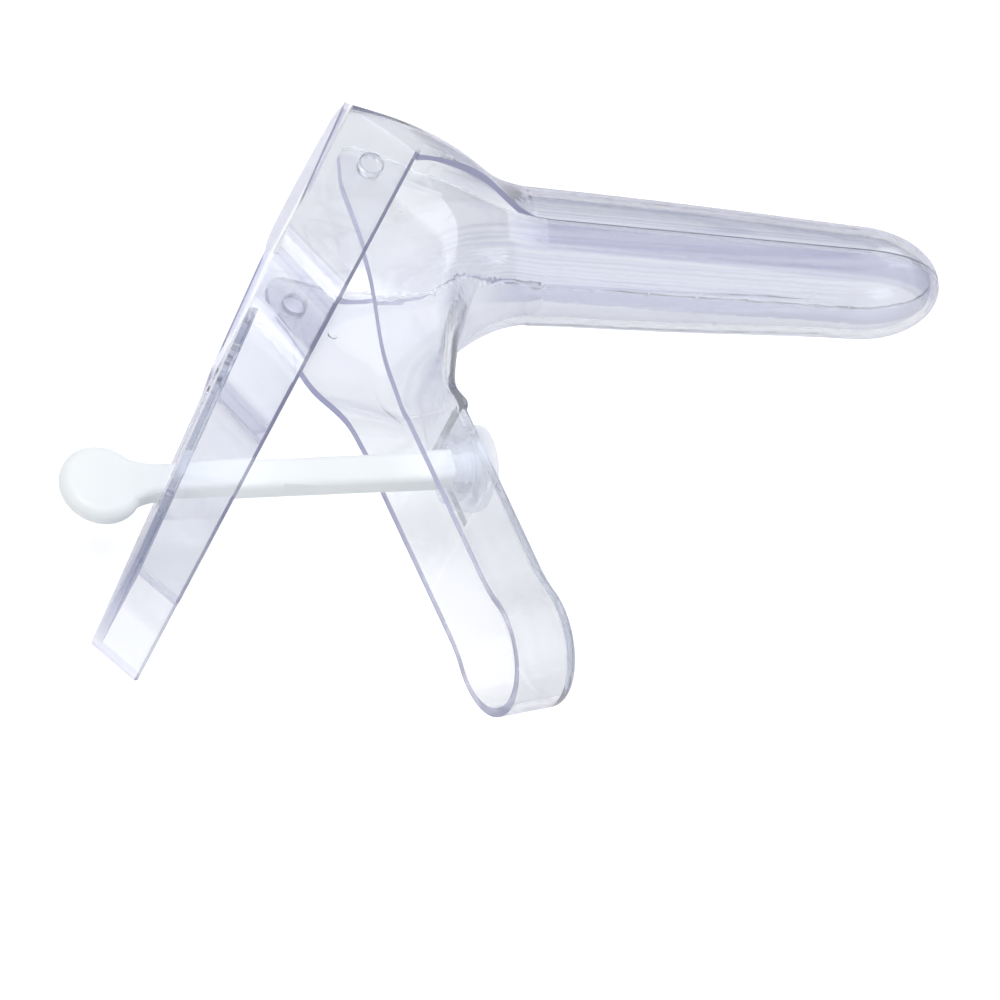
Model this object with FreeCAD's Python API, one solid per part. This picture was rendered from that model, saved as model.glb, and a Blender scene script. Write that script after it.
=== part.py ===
import FreeCAD, Part
import math
import os

# Disposable bivalve speculum with a rotating spindle lock, closed, lying on its side.
# X runs forward along the blades, Y is up in use (the handles point to -Y), and Z is the width.
# Everything is drawn about the hinge axis (X = Y = 0) and the middle plane (Z = 0), and set on
# the ground at the end. All sizes are in millimetres and angles in degrees.

# Blades
BLADE_REACH = 131.3        # hinge axis to the tip of the blades
DOME_LENGTH = 18.0         # length of the rounded tip
RIM_LEVEL = 1.0            # height of the parting line of the blades, from the hinge axis
RIM_GAP = 0.3              # gap between the rims of the two closed blades
WALL = 1.9                 # wall of the blades, mouth and handle
ROOT_HALF = 12.6           # half width of the lower blade where the throat starts
UPPER_ROOT_HALF = 12.5     # and of the upper blade, where the hood starts

# Hinge and mouth
MOUTH_HALF = 25.5          # half width of the lower mouth, outside
EAR_ROUND = 3.4
STUD_RADIUS = 2.6
STUD_CLEARANCE = 0.05      # radial, between stud and hole
SIDE_CLEARANCE = 0.6       # between the mouth and each side of the lever
SIDE_THICKNESS = 2.2       # sides of the lever
NUB_RADIUS = 1.1           # small click stops on the mouth
NUB_HEIGHT = 0.4
NUB_PLACE = (6.9, -7.6)

# Handle, a tray that is open to the back
HANDLE_ANGLE = 72.3        # from the blade direction, downwards
HANDLE_DEPTH = 13.8
HANDLE_HALF = 12.0
HANDLE_STRAIGHT = 50.6     # root to the centre of the round end
HANDLE_END_RADIUS = 13.8
HANDLE_BLEND = 20.0        # hollow curve from the straight sides to the round end
HANDLE_EDGE = 1.6          # rounding of the front edge

# Throat: the lower moulding turns from blade to handle about this line
THROAT_CENTRE = (43.0, -40.5)
THROAT_RADIUS = 22.9       # to the front face of the handle, where the straight tray starts

# Lever, a channel with its web to the back
LEVER_TOP_BACK = (-4.3, 14.8)
LEVER_TOP_FRONT = (10.4, 3.5)
LEVER_LOW_BACK = (-57.3, -96.2)
LEVER_LOW_FRONT = (-48.3, -105.0)
LEVER_LOW_HALF = 15.0
LEVER_NECK_HALF = 16.6
LEVER_WEB = 2.0
LEVER_EDGE = 0.8           # rounding of the lever's free corners
ROOF_ARCH = 1.0            # rise of the roof's rear edge at its middle
SHOULDER_START = 24.0      # along the lever, from abreast of the hinge axis
SHOULDER_END = 39.0
SHOULDER_SLANT = 0.5       # the shoulders run down towards the front, by this slope
SHOULDER_ROUND = 11.0
WINDOW_END = 38.0          # lower end of the viewing window
WINDOW_ROUND = 11.0

# Spindle
SPINDLE_FRONT = (23.4, -54.8)  # where its axis leaves the front face of the handle
SPINDLE_RISE = 8.7         # its axis rises forwards
SHAFT_TALL = 7.0
SHAFT_WIDE = 5.6
SHAFT_EDGE = 1.4
COLLAR_RADIUS = 4.85
COLLAR_LENGTH = 5.6
BEAD_RADIUS = 5.25
BEAD_WIDTH = 1.4
BEAD_FOOT = 0.3            # the bead's slopes start this far inside the collar
COLLAR_NOSE = 1.9          # collar ahead of the handle's front face
BORE_CLEARANCE = 0.05      # radial, between collar and bore
COLLAR_GAP = 0.3           # between the collar's nose and the end of the bore
PADDLE_BACK = 81.2         # handle's front face to the centre of the paddle
PADDLE_RADIUS = 8.85
PADDLE_THICK = 5.0
PADDLE_EDGE = 2.1          # rounding of the paddle's edges
NECK_LENGTH = 4.0          # the shaft widens to the paddle over this length
TOOTH_START = 41.8         # handle's front face to the first ratchet step
TOOTH_PITCH = 9.0
TOOTH_DEPTH = 0.45
BOSS_RADIUS = 9.1
BOSS_HEIGHT = 4.2
BOSS_EDGE = 1.2            # rounding of the boss's front
BOSS_INNER_RADIUS = 7.0
BOSS_INNER_LENGTH = 4.6
SLOT_HALF = 4.15
SLOT_START = 47.0          # along the lever, from abreast of the hinge axis
SLOT_END = 84.5
KEYHOLE_RADIUS = 5.6       # lets the collar through when the spindle is fitted

# Working sizes
THROUGH = 40.0             # more than half the width, for cuts that go right through
OVERCUT = 3.0              # cutters start this far outside the face that they open
LEAST_CORNER = 0.6         # least height of the rounding inside a wall

# Free edges in side view: place along X, height, and rounding
EAR_EDGE = [(-6.1, -4.0, 12.0), (-6.1, 6.4, EAR_ROUND), (0.5, 4.8, 6.0), (10.0, 2.4, 8.0),
            (26.0, 1.5, 20.0)]
RIM_START = 40.0           # the straight rim of the lower blade starts here
RIM_BEND = 20.0
TRAY_BEND = 60.0           # slight bend in the back edge where the handle meets the throat
HOOD_EDGE = (28.0, 3.9, 20.0)
HOOD_RIM_START = 42.0
HOOD_RIM_BEND = 30.0


def side(u, v, w=0.0):
    """A point from its place in side view and its place across the width."""
    return FreeCAD.Vector(u, v, w)


def unit(angle):
    return FreeCAD.Vector(math.cos(math.radians(angle)), math.sin(math.radians(angle)), 0)


def conic(start, knee, end, weight):
    curve = Part.BezierCurve()
    curve.setPoles([start, knee, end])
    curve.setWeight(2, weight)
    return curve.toShape()


def rounded_outline(corners, place):
    """A closed wire with straight runs and tangent arcs; a corner is (x, y, radius)."""
    points = [FreeCAD.Vector(x, y, 0) for x, y, radius in corners]
    ends = []
    for number, (x, y, radius) in enumerate(corners):
        here = points[number]
        to_last = (points[number - 1] - here).normalize()
        to_next = (points[(number + 1) % len(points)] - here).normalize()
        half = to_last.getAngle(to_next) / 2
        reach = radius / math.tan(half)
        middle = here + (to_last + to_next).normalize() * (radius / math.sin(half) - radius)
        ends.append((here + to_last * reach, middle, here + to_next * reach, radius))
    edges = []
    for number, (start, middle, end, radius) in enumerate(ends):
        if radius > 0:
            edges.append(Part.Arc(place(start), place(middle), place(end)).toShape())
        following = ends[(number + 1) % len(ends)][0]
        if (following - end).Length > 1e-6:
            edges.append(Part.LineSegment(place(end), place(following)).toShape())
    return Part.Wire(edges)


def slab(corners, half_width):
    """An outline in side view, extruded to both sides of the middle plane."""
    wire = rounded_outline(corners, lambda p: side(p.x, p.y, -half_width))
    return Part.Face(wire).extrude(side(0, 0, 2 * half_width))


# One section of a blade, mouth or throat: a trough with its floor at a point, open along a
# direction. Its floor goes from half an ellipse (box = 0) to flat with round corners (box = 1).
def trough_section(floor, opening, half, rim_half, round_height, box, depth):
    def at(across, height):
        return floor + opening * height + side(0, 0, across)

    def mix(ellipse, flat):
        return (ellipse[0] + (flat[0] - ellipse[0]) * box, ellipse[1] + (flat[1] - ellipse[1]) * box)

    corner = min(round_height, half * 0.9)
    split = math.radians(55)
    knee_reach = math.tan(split / 2)
    shoulder = mix((half, round_height), (half, corner))
    knee = mix((half, round_height * (1 - knee_reach)), (half, 0))
    turn = mix((half * math.cos(split), round_height * (1 - math.sin(split))), (half - corner, 0))
    rest = math.pi / 2 - split
    keel = mix((0, round_height * (1 - 1 / math.cos(rest))), (0, 0))
    side_weight = math.cos(split / 2) + (math.cos(math.pi / 4) - math.cos(split / 2)) * box
    keel_weight = math.cos(rest)
    near = [at(rim_half, depth), at(*shoulder), at(*knee), at(*turn)]
    far = [at(-rim_half, depth), at(-shoulder[0], shoulder[1]), at(-knee[0], knee[1]),
           at(-turn[0], turn[1])]
    return Part.Wire([
        Part.LineSegment(near[0], near[1]).toShape(),
        conic(near[1], near[2], near[3], side_weight),
        conic(near[3], at(*keel), far[3], keel_weight),
        conic(far[3], far[2], far[1], side_weight),
        Part.LineSegment(far[1], far[0]).toShape(),
        Part.LineSegment(far[0], near[0]).toShape()])


# Stations of the blades: place along X, half width, and the depth of each blade there.
BLADE_OPEN = 6.0           # the sections run this far past the rim, and are trimmed there
BLADE_STATIONS = [
    (BLADE_REACH - DOME_LENGTH, 11.9, 11.5, 11.2),
    (89.0, 12.1, 13.1, 12.4),
    (67.0, 12.3, 14.6, 13.3),
    (53.0, 12.4, 15.3, 13.7)]

# Stations of the throat: angle about its centre, radius of the floor, the share of the way from
# the blade's half width (or the handle's, past the mouth) to the mouth's at the floor and at the
# rim, height of the rounding, and how flat the floor is. The first is the blade's root, whose
# rounding is as high as the blade is deep.
MOUTH_ANGLE = 140.0
THROAT_STATIONS = [
    (90.0, 25.4, 0.0, 0.0, None, 0.0),
    (102.0, 25.1, 0.14, 0.155, 17.0, 0.0),
    (113.0, 24.7, 0.45, 0.558, 18.5, 0.0),
    (124.0, 24.4, 0.752, 0.884, 18.0, 0.1),
    (136.0, 24.2, 0.868, 1.0, 15.0, 0.2),
    (148.0, 23.8, 0.77, 1.0, 11.0, 0.4),
    (158.0, 23.5, 0.56, 0.956, 8.0, 0.6),
    (167.0, 23.2, 0.28, 0.54, 5.5, 0.8),
    (176.0, 23.1, 0.07, 0.17, 3.8, 0.9),
    (186.0, 23.0, 0.01, 0.015, 2.2, 1.0),
    (270.0 - HANDLE_ANGLE, THROAT_RADIUS, 0.0, 0.0, HANDLE_EDGE, 1.0)]
THROAT_OPEN = 46.0

# Stations of the upper hood: angle about its centre, radius of the roof, the share of the way
# from the blade's half width to the hood's, height of the rounding, and how flat the roof is.
HOOD_OUTER_HALF = MOUTH_HALF + SIDE_CLEARANCE + SIDE_THICKNESS
HOOD_CENTRE_X = 41.0
HOOD_STATIONS = [
    (90.0, 35.1, 0.0, None, 0.0),
    (101.0, 36.2, 0.12, 13.6, 0.05),
    (112.0, 38.5, 0.373, 13.0, 0.15),
    (122.0, 42.1, 0.652, 11.5, 0.35),
    (131.0, 47.2, 0.86, 8.5, 0.65)]
ROOF_FLATNESS = 0.4
THICK_FROM = 120.0         # the hood has the thickness of the lever's sides from this angle on
HOOD_OPEN = 34.0


def rim_height(upward):
    return RIM_LEVEL + (RIM_GAP / 2 if upward else -RIM_GAP / 2)


def blade_trough(inset, upward, root_x, root_half, root_depth):
    """The trough of a blade, from its tip dome back to its root at the throat or hood."""
    rim = rim_height(upward)
    turn = 1 if upward else -1
    sections = []
    for x, half, low_depth, high_depth in BLADE_STATIONS + [(root_x, root_half, root_depth, root_depth)]:
        depth = (high_depth if upward else low_depth) - inset
        floor = side(x, rim + turn * depth)
        sections.append(trough_section(floor, side(0, -turn), half - inset, half - inset,
                                       depth, 0.0, depth + BLADE_OPEN))
    return Part.makeLoft(sections, True, False).fuse(blade_dome(inset, upward))


def blade_dome(inset, upward):
    """A quarter of an ellipsoid that closes the tip of a blade."""
    rim = rim_height(upward)
    turn = 1 if upward else -1
    x, half, low_depth, high_depth = BLADE_STATIONS[0]
    depth = (high_depth if upward else low_depth) - inset
    # The poles and the seam of the ball lie away from the quarter that is kept.
    ball = Part.makeSphere(1.0, side(0, 0), side(-turn, 1))
    shape = FreeCAD.Matrix()
    shape.scale(DOME_LENGTH - inset, depth, half - inset)
    ball = ball.transformGeometry(shape)
    ball.translate(side(x, rim))
    keep = Part.makeBox(DOME_LENGTH + 1, 2 * depth, 2 * half)
    lower_corner = rim - (0 if upward else 2 * depth)
    if inset:
        # The hollow runs on through the rim, so that the blade is open there.
        lower_corner += -turn * OVERCUT
    keep.translate(side(x, lower_corner, -half))
    return ball.common(keep)


def lower_body(inset):
    centre = side(*THROAT_CENTRE)
    root_depth = rim_height(False) - centre.y - THROAT_STATIONS[0][1]
    sections = []
    for angle, radius, share, rim_share, height, box in THROAT_STATIONS:
        opening = unit(angle)
        narrow = ROOT_HALF if angle < MOUTH_ANGLE else HANDLE_HALF
        half = narrow + (MOUTH_HALF - narrow) * share
        rim_half = narrow + (MOUTH_HALF - narrow) * rim_share
        corner = max((height or root_depth) - inset, LEAST_CORNER)
        sections.append(trough_section(centre + opening * (radius + inset), opening, half - inset,
                                       rim_half - inset, corner, box, THROAT_OPEN))
    throat = Part.makeLoft(sections, True, False)
    return blade_trough(inset, False, centre.x, ROOT_HALF, root_depth).fuse(throat)


def tray_point(along, across, height=0.0):
    """A point from its place down the handle, across it, and behind its front face."""
    down = unit(-HANDLE_ANGLE)
    forward = unit(90 - HANDLE_ANGLE)
    root = side(*THROAT_CENTRE) - forward * THROAT_RADIUS
    return root + down * along - forward * height + side(0, 0, across)


def tray_outline(inset, start, height):
    """The outline of the handle: straight sides, hollow blends and a round end."""
    half = HANDLE_HALF - inset
    end_radius = HANDLE_END_RADIUS - inset
    blend = HANDLE_BLEND + inset
    reach = math.sqrt((end_radius + blend) ** 2 - (half + blend) ** 2)
    ratio = end_radius / (end_radius + blend)
    meet_along = HANDLE_STRAIGHT - reach * ratio
    meet_across = (half + blend) * ratio
    lean = math.atan2(reach, half + blend) / 2
    mid_along = HANDLE_STRAIGHT - reach + blend * math.sin(lean)
    mid_across = half + blend - blend * math.cos(lean)
    blend_start = HANDLE_STRAIGHT - reach

    def at(along, across):
        return tray_point(along, across, height)

    edges = [
        Part.LineSegment(at(start, half), at(blend_start, half)),
        Part.Arc(at(blend_start, half), at(mid_along, mid_across), at(meet_along, meet_across)),
        Part.Arc(at(meet_along, meet_across), at(HANDLE_STRAIGHT + end_radius, 0),
                 at(meet_along, -meet_across)),
        Part.Arc(at(meet_along, -meet_across), at(mid_along, -mid_across), at(blend_start, -half)),
        Part.LineSegment(at(blend_start, -half), at(start, -half)),
        Part.LineSegment(at(start, -half), at(start, half))]
    return Part.Face(Part.Wire([edge.toShape() for edge in edges]))


def handle_tray():
    """The outer block of the handle with its rounded front edge, and the pocket in it."""
    backward = unit(90 - HANDLE_ANGLE) * -1
    block = tray_outline(0.0, 0.0, 0.0).extrude(backward * HANDLE_DEPTH)
    front = [edge for edge in block.Edges if on_front(edge) and not at_root(edge)]
    block = block.makeFillet(HANDLE_EDGE, front)
    pocket = tray_outline(WALL, -WALL / 2, WALL).extrude(backward * (HANDLE_DEPTH + OVERCUT))
    return block, pocket


def on_front(edge):
    forward = unit(90 - HANDLE_ANGLE)
    return all(abs((vertex.Point - tray_point(0, 0)).dot(forward)) < 1e-4 for vertex in edge.Vertexes)


def at_root(edge):
    return (edge.CenterOfMass - tray_point(0, 0)).dot(unit(-HANDLE_ANGLE)) < WALL / 2


def lower_profile():
    """The side view of the lower moulding: rim, ear, and the free back edges."""
    rim = rim_height(False)
    end = BLADE_REACH + OVERCUT
    low = HANDLE_STRAIGHT + HANDLE_END_RADIUS + OVERCUT
    tray_top = tray_point(0, 0, HANDLE_DEPTH)
    tray_low = tray_point(low, 0, HANDLE_DEPTH)
    front_low = tray_point(low, 0, -THROUGH)
    return [
        (end, rim, 0),
        (end, -THROUGH, 0),
        (front_low.x, front_low.y, 0),
        (tray_low.x, tray_low.y, 0),
        (tray_top.x, tray_top.y, TRAY_BEND),
        *EAR_EDGE,
        (RIM_START, rim, RIM_BEND)]


def spindle_point(along, across=0.0, width=0.0):
    """A point from its place along the spindle, with 0 at the handle's front face."""
    return side(*SPINDLE_FRONT) + unit(SPINDLE_RISE) * along + unit(SPINDLE_RISE + 90) * across \
        + side(0, 0, width)


def rod(radius, start, end):
    return Part.makeCylinder(radius, end - start, spindle_point(start), unit(SPINDLE_RISE))


def bead(radius, width):
    """The snap bead at the middle of the collar, and with more radius its groove."""
    middle = COLLAR_NOSE - COLLAR_LENGTH / 2
    slope = radius - COLLAR_RADIUS + BEAD_FOOT
    foot = COLLAR_RADIUS - BEAD_FOOT
    points = [(middle - width / 2 - slope, foot), (middle - width / 2, radius),
              (middle + width / 2, radius), (middle + width / 2 + slope, foot)]
    wire = Part.makePolygon([spindle_point(a, r) for a, r in points + points[:1]])
    return Part.Face(wire).revolve(spindle_point(0), unit(SPINDLE_RISE), 360)


def stud(half_from, half_to, radius):
    near = Part.makeCylinder(radius, half_to - half_from, side(0, 0, half_from))
    far = Part.makeCylinder(radius, half_to - half_from, side(0, 0, -half_to))
    return near, far


def lower_blade():
    block, pocket = handle_tray()
    boss = rod(BOSS_RADIUS, -WALL, BOSS_HEIGHT)
    outline = [edge for edge in boss.Edges
               if abs((edge.CenterOfMass - spindle_point(BOSS_HEIGHT)).Length) < 0.01]
    boss = boss.makeFillet(BOSS_EDGE, outline)
    shell = lower_body(0.0).fuse([block])
    shell = shell.cut(lower_body(WALL)).cut(pocket)
    shell = shell.common(slab(lower_profile(), THROUGH))
    shell = shell.fuse([boss, rod(BOSS_INNER_RADIUS, -BOSS_INNER_LENGTH, -WALL / 2)])
    bore_radius = COLLAR_RADIUS + BORE_CLEARANCE
    shell = shell.cut(rod(bore_radius, -BOSS_INNER_LENGTH - OVERCUT, COLLAR_NOSE + COLLAR_GAP))
    shell = shell.cut(bead(BEAD_RADIUS + BORE_CLEARANCE, BEAD_WIDTH + 2 * BORE_CLEARANCE))
    shell = shell.fuse(list(stud(MOUTH_HALF - WALL / 2, HOOD_OUTER_HALF, STUD_RADIUS)))
    ray = Part.makeLine(side(*NUB_PLACE), side(*NUB_PLACE, 2 * MOUTH_HALF))
    surface = shell.common(ray).BoundBox.ZMax
    ball_radius = (NUB_RADIUS ** 2 + NUB_HEIGHT ** 2) / (2 * NUB_HEIGHT)
    nubs = []
    for face in (1, -1):
        ball = Part.makeSphere(ball_radius)
        ball.translate(side(*NUB_PLACE, face * (surface + NUB_HEIGHT - ball_radius)))
        keep = Part.makeCylinder(NUB_RADIUS, NUB_HEIGHT + WALL / 2,
                                 side(*NUB_PLACE, face * (surface - WALL / 2)), side(0, 0, face))
        nubs.append(ball.common(keep))
    return shell.fuse(nubs).removeSplitter()


def lever_frame():
    """The straight back edge of the lever: its direction, and its point abreast of the hinge."""
    top = side(*LEVER_TOP_BACK)
    down = (side(*LEVER_LOW_BACK) - top).normalize()
    abreast = top - down * top.dot(down)
    forward = side(-down.y, down.x)
    return abreast, down, forward


def lever_point(along, across, ahead=0.0):
    abreast, down, forward = lever_frame()
    return abreast + down * along + forward * ahead + side(0, 0, across)


def lever_outline(inset, margin):
    """The back view of the lever: wide at the mouth, shoulders, and a long slim blade."""
    abreast, down, forward = lever_frame()
    top = (side(*LEVER_TOP_BACK) - abreast).dot(down) - margin
    low = (side(*LEVER_LOW_FRONT) - abreast).dot(down) + margin
    wide = HOOD_OUTER_HALF - inset
    neck = LEVER_NECK_HALF - inset
    foot = LEVER_LOW_HALF - inset
    round_out = SHOULDER_ROUND - inset
    round_in = SHOULDER_ROUND + inset
    corners = [(top - THROUGH, wide, 0), (SHOULDER_START, wide, round_out), (SHOULDER_END, neck, round_in),
               (low, foot, 0), (low, -foot, 0), (SHOULDER_END, -neck, round_in),
               (SHOULDER_START, -wide, round_out), (top - THROUGH, -wide, 0)]
    wire = rounded_outline(corners, lambda p: lever_point(p.x, p.y))
    return Part.Face(wire).extrude((forward + down * SHOULDER_SLANT) * THROUGH)


def lever_side(web):
    """The side view of the lever; with a web thickness, the side view of the hollow in it."""
    abreast, down, forward = lever_frame()
    top_back = side(*LEVER_TOP_BACK) + forward * web
    low_back = side(*LEVER_LOW_BACK) + forward * web
    top_front = side(*LEVER_TOP_FRONT)
    low_front = side(*LEVER_LOW_FRONT)
    if web:
        top_back = top_back - down * OVERCUT
        low_back = low_back + down * OVERCUT * 2
        top_front = top_front + (forward - down) * OVERCUT * 4
        low_front = low_front + (forward + down) * OVERCUT * 4
        return [(p.x, p.y, 0) for p in (top_back, top_front, low_front, low_back)]
    return [(top_back.x, top_back.y, 0), (top_front.x, top_front.y, LEVER_EDGE),
            (low_front.x, low_front.y, LEVER_EDGE), (low_back.x, low_back.y, LEVER_EDGE)]


def slot_cutter():
    """The slot for the spindle's shaft, with a keyhole at its upper end."""
    abreast, down, forward = lever_frame()
    corners = [(SLOT_START, SLOT_HALF, 0), (SLOT_END, SLOT_HALF, SLOT_HALF - 0.01),
               (SLOT_END, -SLOT_HALF, SLOT_HALF - 0.01), (SLOT_START, -SLOT_HALF, 0)]
    wire = rounded_outline(corners, lambda p: lever_point(p.x, p.y, -OVERCUT))
    slot = Part.Face(wire).extrude(forward * (LEVER_WEB + 2 * OVERCUT))
    keyhole = Part.makeCylinder(KEYHOLE_RADIUS, LEVER_WEB + 2 * OVERCUT,
                                lever_point(SLOT_START, 0, -OVERCUT), forward)
    return slot.fuse(keyhole)


def hood_centre():
    """The line that the section planes of the hood pass through."""
    top_back = side(*LEVER_TOP_BACK)
    run = side(*LEVER_TOP_FRONT) - top_back
    return top_back + run * ((HOOD_CENTRE_X - top_back.x) / run.x)


def upper_body(inset):
    centre = hood_centre()
    last = side(*LEVER_TOP_BACK) - centre
    last_radius = last.Length + ROOF_ARCH
    last_angle = math.degrees(math.atan2(last.y, last.x))
    stations = HOOD_STATIONS + [(last_angle, last_radius, 1.0, ROOF_ARCH + LEVER_EDGE, ROOF_FLATNESS)]
    root_depth = centre.y + HOOD_STATIONS[0][1] - rim_height(True)
    sections = []
    for angle, radius, share, height, box in stations:
        half = UPPER_ROOT_HALF + (HOOD_OUTER_HALF - UPPER_ROOT_HALF) * share
        thick = inset * SIDE_THICKNESS / WALL if angle > THICK_FROM else inset
        inward = unit(angle) * -1
        corner = max((height or root_depth) - inset, LEAST_CORNER)
        sections.append(trough_section(centre + unit(angle) * (radius - inset), inward, half - thick,
                                       half - thick, corner, box, HOOD_OPEN))
    hood = Part.makeLoft(sections, True, False)
    return blade_trough(inset, True, centre.x, UPPER_ROOT_HALF, root_depth).fuse(hood)


def upper_profile():
    """The side view of the upper moulding ahead of the lever: all that is above its rim."""
    rim = rim_height(True)
    end = BLADE_REACH + OVERCUT
    return [
        (end, rim, 0),
        (end, THROUGH, 0),
        (LEVER_TOP_BACK[0] - THROUGH, THROUGH, 0),
        (LEVER_TOP_BACK[0] - OVERCUT, LEVER_TOP_BACK[1] - OVERCUT, 0),
        (LEVER_TOP_FRONT[0] - LEVER_EDGE, LEVER_TOP_FRONT[1] - LEVER_EDGE / 2, 0),
        HOOD_EDGE,
        (HOOD_RIM_START, rim, HOOD_RIM_BEND)]


def upper_blade():
    hood = upper_body(0.0).cut(upper_body(WALL))
    hood = hood.common(slab(upper_profile(), THROUGH))
    outer = slab(lever_side(0.0), THROUGH).common(lever_outline(0.0, 0.0))
    hollow = slab(lever_side(LEVER_WEB), THROUGH).common(lever_outline(SIDE_THICKNESS, OVERCUT))
    abreast, down, forward = lever_frame()
    window_half = HOOD_OUTER_HALF - SIDE_THICKNESS
    corners = [(-THROUGH, window_half, 0), (WINDOW_END, window_half, WINDOW_ROUND),
               (WINDOW_END, -window_half, WINDOW_ROUND), (-THROUGH, -window_half, 0)]
    wire = rounded_outline(corners, lambda p: lever_point(p.x, p.y, -OVERCUT))
    window = Part.Face(wire).extrude(forward * THROUGH).common(lever_outline(SIDE_THICKNESS, OVERCUT))
    lever = outer.cut(hollow).cut(window).cut(slot_cutter())
    moulding = hood.fuse(lever)
    holes = stud(MOUTH_HALF, HOOD_OUTER_HALF + OVERCUT, STUD_RADIUS + STUD_CLEARANCE)
    return moulding.cut(list(holes)).removeSplitter()


def shaft_outline(tall, wide, edge, along):
    corners = [(tall / 2, wide / 2, edge), (tall / 2, -wide / 2, edge),
               (-tall / 2, -wide / 2, edge), (-tall / 2, wide / 2, edge)]
    return rounded_outline(corners, lambda p: spindle_point(along, p.x, p.y))


def paddle():
    """A round flat thumb disc with soft edges, in the middle plane."""
    disc = Part.makeCylinder(PADDLE_RADIUS, PADDLE_THICK,
                             spindle_point(-PADDLE_BACK, 0, -PADDLE_THICK / 2))
    return disc.makeFillet(PADDLE_EDGE, disc.Edges[:1] + disc.Edges[2:])


def locking_spindle():
    back = -PADDLE_BACK + PADDLE_RADIUS * 0.55
    front = COLLAR_NOSE - COLLAR_LENGTH / 2
    shaft = Part.Face(shaft_outline(SHAFT_TALL, SHAFT_WIDE, SHAFT_EDGE, back))
    shaft = shaft.extrude(unit(SPINDLE_RISE) * (front - back))
    neck_end = -PADDLE_BACK + PADDLE_RADIUS + NECK_LENGTH
    neck = Part.makeLoft([
        shaft_outline(SHAFT_TALL + 5.5, SHAFT_WIDE - 0.8, SHAFT_EDGE, back),
        shaft_outline(SHAFT_TALL + 1.6, SHAFT_WIDE - 0.2, SHAFT_EDGE, (back + neck_end) / 2),
        shaft_outline(SHAFT_TALL, SHAFT_WIDE, SHAFT_EDGE, neck_end)], True, False)
    collar = rod(COLLAR_RADIUS, COLLAR_NOSE - COLLAR_LENGTH, COLLAR_NOSE)
    body = shaft.fuse([neck, paddle(), collar, bead(BEAD_RADIUS, BEAD_WIDTH)])
    notches = []
    for face in (1, -1):
        start = -TOOTH_START
        outer = SHAFT_TALL / 2 + 1
        inner = SHAFT_TALL / 2 - TOOTH_DEPTH
        wire = Part.makePolygon([spindle_point(a, face * r, -SHAFT_WIDE) for a, r in (
            (start, SHAFT_TALL / 2), (start, inner), (start + TOOTH_PITCH, SHAFT_TALL / 2),
            (start + TOOTH_PITCH, outer), (start, outer), (start, SHAFT_TALL / 2))])
        notches.append(Part.Face(wire).extrude(side(0, 0, 2 * SHAFT_WIDE)))
    return body.cut(notches).removeSplitter()


def main():
    os.makedirs("parts", exist_ok=True)
    pieces = {
        "upper_blade": upper_blade(),
        "lower_blade": lower_blade(),
        "locking_spindle": locking_spindle()}
    box = FreeCAD.BoundBox()
    for shape in pieces.values():
        box.add(shape.optimalBoundingBox(False))
    rest = FreeCAD.Vector(-box.Center.x, -box.Center.y, -box.ZMin)
    for name, shape in pieces.items():
        shape.translate(rest)
        shape.exportStep("parts/" + name + ".step")
        print(name, shape.ShapeType, len(shape.Solids), "solid", shape.isValid(), round(shape.Volume, 1))
    print("hinge axis at", round(rest.x, 4), round(rest.y, 4), "middle plane at", round(rest.z, 4))
    print("size", round(box.XLength, 2), round(box.YLength, 2), round(box.ZLength, 2))


main()
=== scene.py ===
import bpy
from collections import namedtuple
from functools import reduce
from mathutils import Matrix, Vector

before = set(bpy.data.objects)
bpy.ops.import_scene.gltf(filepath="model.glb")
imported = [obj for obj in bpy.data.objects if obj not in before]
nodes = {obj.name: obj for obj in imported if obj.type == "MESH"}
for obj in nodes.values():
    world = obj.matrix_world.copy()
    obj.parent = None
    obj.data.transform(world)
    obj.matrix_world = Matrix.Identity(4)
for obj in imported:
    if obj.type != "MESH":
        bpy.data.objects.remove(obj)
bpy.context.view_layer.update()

# Place of the hinge axis in the frame, in metres. All else on the object is measured from it, in
# millimetres forward of the hinge, above it as in use, and to either side of the middle plane.
HINGE = Vector((-0.0327921, 0.0486611, 0.0283))
MILLIMETRES = 1000.0

# Corners of the solids in side view, forward of the hinge and above it
LEVER_TOP_BACK = (-4.3, 14.8)
LEVER_LOW_BACK = (-57.3, -96.2)
LEVER_TOP_FRONT = (10.4, 3.5)
LEVER_LOW_FRONT = (-48.3, -105.0)
THROAT_REAR_TOP = (-6.1, -4.0)
TRAY_REAR_TOP = (8.04, -51.66)
TRAY_REAR_LOW = (28.0, -114.24)
SPINDLE_FRONT = (23.4, -54.8)
SPINDLE_AHEAD = (24.4, -54.647)    # further along the spindle's axis

# In what follows, two numbers are a fade, with nothing at the first and all at the second. Three
# numbers are a band, with its two ends and how soft it is outside them. A share is the most that
# a mark reaches.
CUT_FACE = (0.12, 0.06)            # part of a face's direction that points across the width

# Painted violet shade on the cut faces of the upper blade and its lever, over the plastic's own faint
# violet tint
ROOF_DOWN = (26.0, 22.0)           # the roof at the top of the lever, down the lever
ROOF_END = (1.3, 0.9)              # its rear end, in from the lever's back
LEVER_END = (0.9, 0.6)             # low end of the lever, up from its foot
END_SHARE = 0.25
HOOD_EDGE_FACING = (-0.3, -0.6)    # part of the direction that points upward
HOOD_EDGE_FORWARD = (8.0, 41.0, 2.0)
HOOD_EDGE_HEIGHT = (5.2, 4.8)
SIDE_BACK_DEPTH = (0.15, 0.05)     # rear faces of the lever's sides
SIDE_BACK_SIDE = (12.6, 12.9)
SIDE_BACK_DOWN = (24.0, 34.0)
SIDE_BACK_SHARE = 0.6
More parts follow.
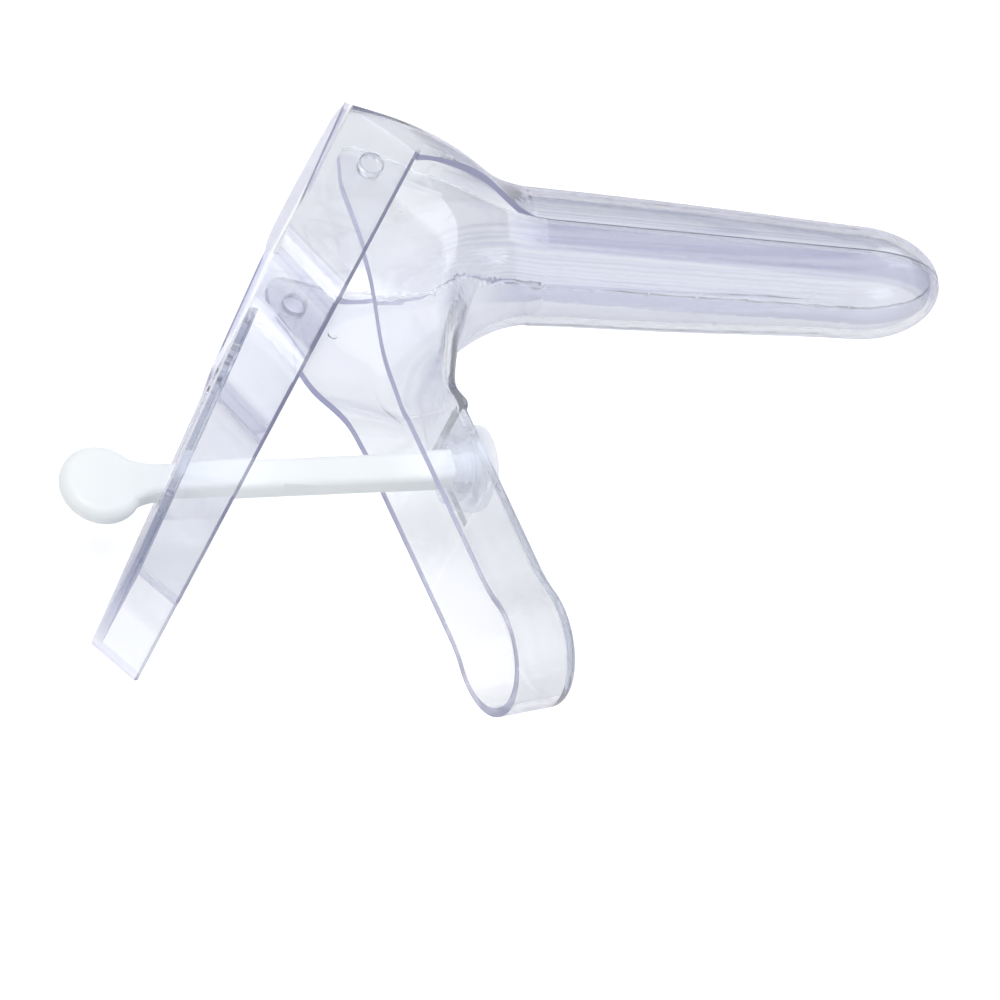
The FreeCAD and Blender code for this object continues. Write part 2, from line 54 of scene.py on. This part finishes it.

# Painted shade: dark lines along the front and back edges of the lever's sides
FRONT_LINE = (-0.2, 0.6, 0.15)
FRONT_LINE_SIDE = (13.0, 14.0)
FRONT_LINE_TOP = (2.0, 6.0)
FRONT_LINE_FADE = (110.0, 60.0)    # down the lever, to a least share
FRONT_LINE_LEAST = 0.6
BACK_LINE = (-0.3, 0.3, 0.15)
BACK_LINE_DOWN = (3.0, 27.0, 3.0)
BACK_LINE_SIDE = (26.5, 27.5)

# Straight view through the ends of the lever, which would else turn black
ROOF_END_CLEAR = (2.2, 1.6)
LEVER_END_CLEAR = (2.4, 1.8)
END_CLEAR_SHARE = 0.85
FOOT_CLEAR = (17.0, 12.0)
FOOT_CLEAR_SHARE = 0.65

# Painted shade in bands across the lever's curved shoulders: each has two levels, softness and share
SHOULDER_SLANT = 0.5
SHOULDER_START = 11.5              # down the lever, abreast of the hinge
SHOULDER_SHADE_BANDS = (
    (23.4, 25.2, 0.4, 1.0),
    (27.8, 29.0, 0.4, 1.0),
    (31.6, 37.5, 1.0, 0.7))
SHOULDER_SHADE_SIDE = (14.0, 16.0)
SHOULDER_SHADE_FRONT = (-0.5, 0.5)
SHOULDER_SHADE_SHARE = 0.35

# Painted shade lines along the upper blade above its rim: each has two levels, softness and share
BLADE_SHADE_LINES = (
    (2.5, 2.7, 0.2, 0.7),
    (4.3, 4.4, 0.25, 0.45),
    (6.2, 6.4, 0.25, 0.7),
    (7.9, 8.0, 0.25, 0.6),
    (9.3, 9.6, 0.25, 0.95),
    (11.2, 11.4, 0.25, 0.9))
LINE_DRIFT = 0.4                   # how far they waver
LINE_SLOPE = 0.004
LINE_ROOT = (26.0, 34.0)
LINE_TIP = (124.0, 112.0)
LINE_SHARE = 0.7

# Tint of the upper blade, and the grazing level where its painted shade starts
UPPER_TINT = (12.0, 32.0)
UPPER_TINT_LEAST = 0.1
UPPER_TURNED = 0.3                 # how far a face turns from the view before painted shade deepens its tone

# Painted violet shade on the cut faces of the lower blade and its handle, over the plastic's own
# faint violet tint
THROAT_RIM = (0.5, 0.35)
THROAT_RIM_HEIGHT = (-51.0, -4.0, 2.0)
TRAY_RIM = (0.3, 0.15)
TRAY_RIM_HEIGHT = (-49.0, -51.0)
TRAY_RIM_FADE = (-95.0, -55.0)     # down the handle, to a least share
TRAY_RIM_LEAST = 0.6
EAR_RIM_FORWARD = (-5.2, -5.6)
EAR_RIM_HEIGHT = (-7.0, -5.0)
EAR_TOP_FACING = (0.2, 0.5)        # part of the direction that points upward
EAR_TOP_HEIGHT = (1.7, 2.2)
EAR_TOP_SHARE = 0.6

# Painted shade: a dark line round the hinge studs
STUD_LINE = (2.4, 2.75, 0.1)
STUD_SIDE = (25.5, 25.7)
STUD_SHARE = 0.5

# Painted shade: a deeper band along the lower blade, under its rim
UNDER_RIM = (-4.2, 0.6, 0.5)
UNDER_RIM_FORWARD = (30.0, 42.0)
UNDER_RIM_SHARE = 0.55

# Straight view through the boss of the spindle
BOSS_AHEAD = (-5.0, 5.0, 0.3)
BOSS_OFF_AXIS = (-9.3, 9.3, 0.2)
BOSS_SIDE = (9.6, 9.2)
BOSS_SHARE = 0.7

# Tint of the lower blade, and the grazing level where its painted shade starts
LOWER_TINT_FORWARD = (8.0, 26.0)
LOWER_TINT_HEIGHT = (-30.0, -20.0)
LOWER_TINT_SHARE = 0.15
LOWER_TURNED = 0.5

# Colours of the plastics
LEAST_TINTED = (0.975, 0.98, 0.99)
MOST_TINTED = (0.87, 0.88, 0.925)
# Painted shade colours: the deep tone, which also carries the plastic's cloudiness, the violets of
# the cut faces and the darks of the edge lines
SHADE_AND_CLOUD_TONE = (0.42, 0.43, 0.63)
RIM_SHADE_VIOLETS = ((0.40, 0.40, 0.63), (0.54, 0.54, 0.75))
SHADE_LINE_DARKS = ((0.12, 0.12, 0.22), (0.24, 0.24, 0.38))
SEEN_THROUGH = (0.98, 0.982, 0.99, 1.0)
SHADOW_TINT = (0.95, 0.955, 0.975, 1.0)
ABSORBED = (0.2, 0.26, 0.45, 1.0)
ABSORPTION = 30.0
MILKY_WHITES = ((0.84, 0.885, 0.92), (0.90, 0.93, 0.95))
REFRACTION = 1.5                   # index of polystyrene, also used for the spindle

SHARP_ANGLE = 0.6                  # radians between faces that keep a sharp edge

# Clear plastic
FLOW_SCALE = 16.0
DRIFT_SCALE = 7.0
WAVE_STRENGTH = 0.07
WAVE_DEPTH = 0.0006
FINE_SCALE = 260.0
FINE_SHARE = 0.02
CLOUDY_SCALE = 95.0
CLOUDY = (0.56, 0.75)
CLOUDY_SHARE = 0.1
GRAZING_BLEND = 0.35
TONE_FULL = 0.95                   # grazing level of the deepest painted shade
RIM_LATER = 0.2                    # painted violet shade starts this much after the painted tone
RIM_FULL = 0.97
GRAZING_RIM_SHARE = 0.55
RIM_SHARE = 0.85
DARK_SHARE = 0.65
LEAST_THROUGH = 0.1                # light that goes straight through everywhere

# Spindle
CLOUD_SCALE = 60.0
GRAIN_SCALE = 900.0
GRAIN_STRENGTH = 0.1
GRAIN_DEPTH = 0.0001
SCATTER_SHARE = 0.35
SCATTER_REACH = (0.004, 0.004, 0.004)
SCATTER_SCALE = 0.5

# Surroundings
SPECK_SCALE = 30.0
WHITE = (1.0, 1.0, 1.0, 1.0)
FLOOR_GREY = (0.82, 0.82, 0.82, 1.0)
FLOOR_SIZE = 6.0
FLOOR_DROP = 0.0002
FLOOR_GLOW_SEEN = 0.42
FLOOR_GLOW_THROUGH = 0.2
FLOOR_GLOW_NEAR = (0.9, 0.2)       # metres from the middle
SKY_LIGHT = 0.65
SKY_MORE_SEEN = 0.35
SKY_OVERHEAD = (0.0, 0.6)          # part of the direction that points up
SKY_MORE_OVERHEAD = 0.65
SKY_LESS_LEVEL = 0.3

# The photograph's view
RIGHT = Vector((0.950, -0.0981, 0.2963))
TOWARD = Vector((-0.3003, -0.5492, 0.780))
FRAME_PIXELS = 1000
PIXEL = 0.001 / 4.862              # metres of the object in one pixel
HINGE_PIXEL = (331.05, 238.7)
CAMERA_AWAY = 0.9


# Shader building
class Value:
    """A number or colour in a node tree, on which arithmetic makes Math nodes."""

    def __init__(self, tree, socket):
        self.tree = tree
        self.socket = socket

    def _math(self, operation, *others):
        node = self.tree.nodes.new("ShaderNodeMath")
        node.operation = operation
        for slot_number, item in enumerate((self,) + others):
            if isinstance(item, Value):
                self.tree.links.new(item.socket, node.inputs[slot_number])
            else:
                node.inputs[slot_number].default_value = item
        return Value(self.tree, node.outputs[0])

    def __add__(self, other):
        return self._math("ADD", other)

    def __sub__(self, other):
        return self._math("SUBTRACT", other)

    def __mul__(self, other):
        return self._math("MULTIPLY", other)

    def power(self, other):
        return self._math("POWER", other)

    def size(self):
        return self._math("ABSOLUTE")

    def maximum(self, other):
        return self._math("MAXIMUM", other)

    def minimum(self, other):
        return self._math("MINIMUM", other)

    def rise(self, start, end):
        """0 at the start and 1 at the end, with a straight run between; the start may be larger."""
        return ((self - start) * (1.0 / (end - start))).maximum(0.0).minimum(1.0)

    def within(self, low, high, soft):
        """1 between two levels, with soft edges outside them."""
        return self.rise(low - soft, low) * self.rise(high + soft, high)

    def at_least(self, least):
        """The same share, squeezed so that it runs from a least value to 1."""
        return self * (1.0 - least) + least


def strongest(*shares):
    """The largest of several shares."""
    return reduce(Value.maximum, shares)


def bands(level, table):
    """The strongest of several bands of a level, from a table of them."""
    return strongest(*(level.within(low, high, soft) * share for low, high, soft, share in table))


class Finish:
    """The node tree of a material or the world, built node by node."""

    def __init__(self, holder, output):
        self.holder = holder
        holder.use_nodes = True
        self.tree = holder.node_tree
        self.tree.nodes.clear()
        self.output = self.node(output)

    def node(self, kind, inputs=None, **settings):
        made = self.tree.nodes.new(kind)
        for name, value in settings.items():
            setattr(made, name, value)
        for name, value in (inputs or {}).items():
            if isinstance(value, Value):
                self.tree.links.new(value.socket, made.inputs[name])
            elif hasattr(value, "is_linked"):
                self.tree.links.new(value, made.inputs[name])
            else:
                made.inputs[name].default_value = value
        return made

    def value(self, node, output=0):
        return Value(self.tree, node.outputs[output])

    def noise(self, scale, detail=2.0, roughness=0.5, distortion=0.0):
        place = self.node("ShaderNodeTexCoord").outputs["Object"]
        return self.value(self.node("ShaderNodeTexNoise", {
            "Vector": place, "Scale": scale, "Detail": detail, "Roughness": roughness,
            "Distortion": distortion}))

    def parts(self, coordinates):
        """The three parts of a place or a direction."""
        vector = self.node("ShaderNodeTexCoord").outputs[coordinates]
        split = self.node("ShaderNodeSeparateXYZ", {0: vector})
        return [self.value(split, number) for number in range(3)]

    def place(self):
        """Millimetres forward of the hinge, above it, and to either side of the middle plane."""
        x, y, z = self.parts("Object")
        forward = (x - HINGE.x) * MILLIMETRES
        height = (y - HINGE.y) * MILLIMETRES
        side = ((z - HINGE.z) * MILLIMETRES).size()
        return forward, height, side

    def facing(self):
        """The parts of the surface's direction upward in use, and across the width."""
        _, above, across = self.parts("Normal")
        return above, across.size()

    def blend(self, share, first, second):
        """A colour between two, of which the first may be a blend itself."""
        first = first if isinstance(first, Value) else (*first, 1.0)
        return self.value(self.node("ShaderNodeMix", {
            "Factor": share, 6: first, 7: (*second, 1.0)}, data_type="RGBA"), 2)

    def mix(self, share, first, second):
        """Two shaders, with a share of the second."""
        return self.node("ShaderNodeMixShader", {"Fac": share, 1: first, 2: second}).outputs[0]

    def passing_rays(self, light):
        """1 for rays that come off gloss or through clear plastic."""
        return self.value(light, "Is Glossy Ray").maximum(self.value(light, "Is Transmission Ray"))

    def finish(self, surface, volume=None):
        self.tree.links.new(surface, self.output.inputs["Surface"])
        if volume:
            self.tree.links.new(volume, self.output.inputs["Volume"])
        return self.holder


def new_material(name):
    return Finish(bpy.data.materials.new(name), "ShaderNodeOutputMaterial")


# Places on the pieces
def from_line(forward, height, start, end):
    """Millimetres to the left of a line in side view, seen from its start to its end."""
    run = Vector((end[0] - start[0], end[1] - start[1])).normalized()
    return (height - start[1]) * run.x - (forward - start[0]) * run.y


def along_line(forward, height, start, end):
    """Millimetres along a line in side view, from its start."""
    run = Vector((end[0] - start[0], end[1] - start[1])).normalized()
    return (forward - start[0]) * run.x + (height - start[1]) * run.y


# What a clear piece shows where: painted violet shade on its cut faces, painted dark shade line,
# deeper painted tone, tint and straight view through it, each as a share, and how far it turns before
# painted shade deepens its tone
Marks = namedtuple("Marks", "violet line deeper tint through turned")


def upper_marks(plastic):
    """Marks of the upper blade and its lever."""
    forward, height, side = plastic.place()
    above, across = plastic.facing()
    front = from_line(forward, height, LEVER_LOW_FRONT, LEVER_TOP_FRONT)
    back = from_line(forward, height, LEVER_TOP_BACK, LEVER_LOW_BACK)
    foot = from_line(forward, height, LEVER_LOW_BACK, LEVER_LOW_FRONT)
    down = along_line(forward, height, LEVER_TOP_BACK, LEVER_LOW_BACK)
    cut_face = across.rise(*CUT_FACE)
    roof = down.rise(*ROOF_DOWN)

    # Painted violet shade on cut faces: the roof's rear end, the lever's low end, the hood's edge and
    # the rear faces of the sides
    roof_end = back.rise(*ROOF_END) * roof * END_SHARE
    low_end = foot.rise(*LEVER_END) * END_SHARE
    hood_edge = cut_face * above.rise(*HOOD_EDGE_FACING)
    hood_edge = hood_edge * forward.within(*HOOD_EDGE_FORWARD) * height.rise(*HOOD_EDGE_HEIGHT)
    side_back = cut_face * back.rise(*SIDE_BACK_DEPTH) * side.rise(*SIDE_BACK_SIDE)
    side_back = side_back * down.rise(*SIDE_BACK_DOWN) * SIDE_BACK_SHARE

    # Painted shade lines along the front and back edges of the lever's sides
    front_line = front.within(*FRONT_LINE) * side.rise(*FRONT_LINE_SIDE) * down.rise(*FRONT_LINE_TOP)
    front_line = front_line * down.rise(*FRONT_LINE_FADE).at_least(FRONT_LINE_LEAST)
    back_line = back.within(*BACK_LINE) * down.within(*BACK_LINE_DOWN) * side.rise(*BACK_LINE_SIDE)

    # Painted shade in bands across the curved shoulders
    shoulder_shade = bands(below_shoulder(forward, height), SHOULDER_SHADE_BANDS)
    shoulder_shade = shoulder_shade * side.rise(*SHOULDER_SHADE_SIDE) * front.rise(*SHOULDER_SHADE_FRONT) * SHOULDER_SHADE_SHARE
    ends = (back.rise(*ROOF_END_CLEAR) * roof).maximum(foot.rise(*LEVER_END_CLEAR))
    return Marks(
        violet=strongest(roof_end, low_end, side_back, hood_edge),
        line=front_line.maximum(back_line),
        deeper=blade_shade_lines(plastic, forward, height).maximum(shoulder_shade),
        tint=forward.rise(*UPPER_TINT).at_least(UPPER_TINT_LEAST),
        through=(ends * END_CLEAR_SHARE).maximum(foot.rise(*FOOT_CLEAR) * FOOT_CLEAR_SHARE),
        turned=UPPER_TURNED)


def below_shoulder(forward, height):
    """Millimetres down the lever's shoulders, which slant forward, from abreast of the hinge."""
    down = along_line(forward, height, LEVER_TOP_BACK, LEVER_LOW_BACK)
    ahead = from_line(forward, height, LEVER_TOP_BACK, LEVER_LOW_BACK)
    return down - ahead * SHOULDER_SLANT - SHOULDER_START


def blade_shade_lines(plastic, forward, height):
    """Painted shade lines that run along the upper blade just above its rim."""
    drift = (plastic.noise(DRIFT_SCALE, detail=1.0) - 0.5) * LINE_DRIFT
    level = height + drift - forward * LINE_SLOPE
    return bands(level, BLADE_SHADE_LINES) * forward.rise(*LINE_ROOT) * forward.rise(*LINE_TIP) * LINE_SHARE


def lower_marks(plastic):
    """Marks of the lower blade, its mouth and its handle."""
    forward, height, side = plastic.place()
    above, across = plastic.facing()
    throat_rear = from_line(forward, height, THROAT_REAR_TOP, TRAY_REAR_TOP).size()
    tray_rear = from_line(forward, height, TRAY_REAR_TOP, TRAY_REAR_LOW).size()
    cut_face = across.rise(*CUT_FACE)

    # Painted violet shade on the cut faces of the rear rims and the ears
    throat_rim = throat_rear.rise(*THROAT_RIM) * height.within(*THROAT_RIM_HEIGHT)
    tray_rim = tray_rear.rise(*TRAY_RIM) * height.rise(*TRAY_RIM_HEIGHT)
    tray_rim = tray_rim * height.rise(*TRAY_RIM_FADE).at_least(TRAY_RIM_LEAST)
    rear_rim = cut_face * throat_rim.maximum(tray_rim)
    ear_rim = cut_face * forward.rise(*EAR_RIM_FORWARD) * height.rise(*EAR_RIM_HEIGHT)
    ear_top = cut_face * above.rise(*EAR_TOP_FACING) * height.rise(*EAR_TOP_HEIGHT) * EAR_TOP_SHARE

    from_hinge = (forward.power(2.0) + height.power(2.0)).power(0.5)
    # Painted shade: a dark line round the studs and a deeper band under the rim
    stud_line = from_hinge.within(*STUD_LINE) * side.rise(*STUD_SIDE) * STUD_SHARE
    under_rim = height.within(*UNDER_RIM) * forward.rise(*UNDER_RIM_FORWARD) * UNDER_RIM_SHARE
    ahead = along_line(forward, height, SPINDLE_FRONT, SPINDLE_AHEAD)
    off_axis = from_line(forward, height, SPINDLE_FRONT, SPINDLE_AHEAD)
    boss = ahead.within(*BOSS_AHEAD) * off_axis.within(*BOSS_OFF_AXIS) * side.rise(*BOSS_SIDE)
    return Marks(
        violet=strongest(rear_rim, ear_rim, ear_top),
        line=stud_line,
        deeper=under_rim,
        tint=forward.rise(*LOWER_TINT_FORWARD) * height.rise(*LOWER_TINT_HEIGHT) * LOWER_TINT_SHARE,
        through=boss * BOSS_SHARE,
        turned=LOWER_TURNED)


# Finishes
def clear_plastic(name, piece_marks):
    """Clear moulded polystyrene of faint violet, with painted violet shade on its cut faces and
    painted shade where it turns away.
    """
    plastic = new_material(name)
    marks = piece_marks(plastic)
    flow = plastic.noise(FLOW_SCALE, distortion=0.2)
    wave = plastic.node("ShaderNodeBump", {
        "Height": flow + plastic.noise(FINE_SCALE) * FINE_SHARE,
        "Strength": WAVE_STRENGTH, "Distance": WAVE_DEPTH}).outputs["Normal"]
    grazing = plastic.value(
        plastic.node("ShaderNodeLayerWeight", {"Blend": GRAZING_BLEND}), "Facing")
    cloudy = plastic.noise(CLOUDY_SCALE, detail=3.0, roughness=0.6, distortion=0.8)
    cloudy = cloudy.rise(*CLOUDY) * CLOUDY_SHARE
    # Painted shade where a face turns from the view and at the marks, with the plastic's own
    # cloudiness
    painted_shade_and_cloud = strongest(grazing.rise(marks.turned, TONE_FULL), marks.deeper, cloudy)
    tinted = plastic.blend(marks.tint, LEAST_TINTED, MOST_TINTED)
    body = plastic.node("ShaderNodeBsdfPrincipled", {
        "Base Color": plastic.blend(painted_shade_and_cloud, tinted, SHADE_AND_CLOUD_TONE),
        "Roughness": flow * 0.04 + 0.01, "IOR": REFRACTION,
        "Transmission Weight": 1.0, "Normal": wave}).outputs[0]
    # Shaders of the painted violet shade on cut faces and of the painted dark shade lines
    violet, dark = (
        plastic.node("ShaderNodeBsdfPrincipled", {
            "Base Color": plastic.blend(flow, *colours),
            "Roughness": flow * 0.2 + 0.2, "IOR": REFRACTION, "Normal": wave}).outputs[0]
        for colours in (RIM_SHADE_VIOLETS, SHADE_LINE_DARKS))
    seen_through = plastic.node("ShaderNodeBsdfTransparent", {"Color": SEEN_THROUGH}).outputs[0]
    shadow = plastic.node("ShaderNodeBsdfTransparent", {"Color": SHADOW_TINT}).outputs[0]

    surface = plastic.mix(marks.through.maximum(LEAST_THROUGH), body, seen_through)
    # Painted violet shade where a face turns from the view, and on the cut faces
    grazing_violet_shade = grazing.rise(marks.turned + RIM_LATER, RIM_FULL) * GRAZING_RIM_SHARE
    surface = plastic.mix(grazing_violet_shade.maximum(marks.violet * RIM_SHARE), surface, violet)
    surface = plastic.mix(marks.line * DARK_SHARE, surface, dark)
    light = plastic.node("ShaderNodeLightPath")
    surface = plastic.mix(light.outputs["Is Shadow Ray"], surface, shadow)
    absorption = plastic.node("ShaderNodeVolumeAbsorption", {
        "Color": ABSORBED, "Density": ABSORPTION})
    return plastic.finish(surface, absorption.outputs[0])


def milky_plastic(name):
    """The spindle's milky white plastic, a little see-through and softly glossy."""
    plastic = new_material(name)
    cloud = plastic.noise(CLOUD_SCALE, detail=3.0)
    grain = plastic.node("ShaderNodeBump", {
        "Height": plastic.noise(GRAIN_SCALE), "Strength": GRAIN_STRENGTH, "Distance": GRAIN_DEPTH})
    body = plastic.node("ShaderNodeBsdfPrincipled", {
        "Base Color": plastic.blend(cloud, *MILKY_WHITES),
        "Roughness": cloud * 0.1 + 0.25, "IOR": REFRACTION,
        "Subsurface Weight": SCATTER_SHARE, "Subsurface Radius": SCATTER_REACH,
        "Subsurface Scale": SCATTER_SCALE, "Normal": grain.outputs["Normal"]})
    return plastic.finish(body.outputs[0])


def pale_floor(name):
    """A floor that shows nearly white and keeps the object's shadow."""
    ground = new_material(name)
    matt = ground.node("ShaderNodeBsdfDiffuse", {
        "Color": FLOOR_GREY, "Roughness": ground.noise(SPECK_SCALE) * 0.2})
    x, y, _ = ground.parts("Object")
    near = (x.power(2.0) + y.power(2.0)).power(0.5).rise(*FLOOR_GLOW_NEAR)
    light = ground.node("ShaderNodeLightPath")
    seen = ground.value(light, "Is Camera Ray") * FLOOR_GLOW_SEEN
    strength = seen.maximum(ground.passing_rays(light) * near * FLOOR_GLOW_THROUGH)
    glow = ground.node("ShaderNodeEmission", {"Color": WHITE, "Strength": strength})
    both = ground.node("ShaderNodeAddShader", {0: matt.outputs[0], 1: glow.outputs[0]})
    return ground.finish(both.outputs[0])


def studio_sky(name):
    """A white sky that is brighter overhead in what the clear plastic reflects and refracts."""
    sky = Finish(bpy.data.worlds.new(name), "ShaderNodeOutputWorld")
    light = sky.node("ShaderNodeLightPath")
    overhead = sky.parts("Generated")[2].rise(*SKY_OVERHEAD)
    passing = sky.passing_rays(light) * (overhead * SKY_MORE_OVERHEAD - SKY_LESS_LEVEL)
    seen = sky.value(light, "Is Camera Ray") * SKY_MORE_SEEN
    background = sky.node("ShaderNodeBackground", {
        "Color": WHITE, "Strength": seen.maximum(passing) + SKY_LIGHT})
    return sky.finish(background.outputs[0])


# Finishes on the solids
upper = nodes["upper_blade"]
lower = nodes["lower_blade"]
spindle = nodes["locking_spindle"]
for piece, finish in (
        (upper, clear_plastic("clear polystyrene, upper blade", upper_marks)),
        (lower, clear_plastic("clear polystyrene, lower blade", lower_marks)),
        (spindle, milky_plastic("milky white plastic"))):
    piece.data.materials.clear()
    piece.data.materials.append(finish)
    for face in piece.data.polygons:
        face.use_smooth = True
    with bpy.context.temp_override(object=piece, active_object=piece, selected_objects=[piece],
                                   selected_editable_objects=[piece]):
        bpy.ops.object.shade_smooth_by_angle(angle=SHARP_ANGLE)

# Floor and sky
bpy.ops.object.select_all(action="DESELECT")
bpy.ops.mesh.primitive_plane_add(size=FLOOR_SIZE, location=(0.0, 0.0, -FLOOR_DROP))
floor = bpy.context.object
floor.name = "floor"
floor.data.materials.append(pale_floor("pale floor"))
bpy.context.scene.world = studio_sky("studio")


# Lamps
def soft_lamp(name, place, size, watts):
    """A square lamp that points at the middle of the floor."""
    lamp = bpy.data.lights.new(name, "AREA")
    lamp.shape = "SQUARE"
    lamp.size = size
    lamp.energy = watts
    holder = bpy.data.objects.new(name, lamp)
    holder.location = place
    holder.rotation_euler = (-Vector(place)).to_track_quat("-Z", "Y").to_euler()
    bpy.context.scene.collection.objects.link(holder)


soft_lamp("key lamp", (-0.35, -0.15, 0.9), size=0.5, watts=3.0)
soft_lamp("fill lamp", (0.7, 0.5, 0.7), size=0.6, watts=2.0)

# Camera
right = RIGHT.normalized()
back = TOWARD - right * TOWARD.dot(right)
back.normalize()
up = back.cross(right)
middle = FRAME_PIXELS / 2
eye = HINGE + right * (middle - HINGE_PIXEL[0]) * PIXEL - up * (middle - HINGE_PIXEL[1]) * PIXEL
eye = eye + back * CAMERA_AWAY
camera_data = bpy.data.cameras.new("camera")
camera_data.type = "ORTHO"
camera_data.ortho_scale = FRAME_PIXELS * PIXEL
camera_data.clip_start = 0.05
camera_data.clip_end = 10.0
camera = bpy.data.objects.new("camera", camera_data)
turn = Matrix((right, up, back)).transposed().to_4x4()
camera.matrix_world = Matrix.Translation(eye) @ turn
bpy.context.scene.collection.objects.link(camera)
bpy.context.scene.camera = camera

bpy.context.scene.view_settings.view_transform = "Standard"
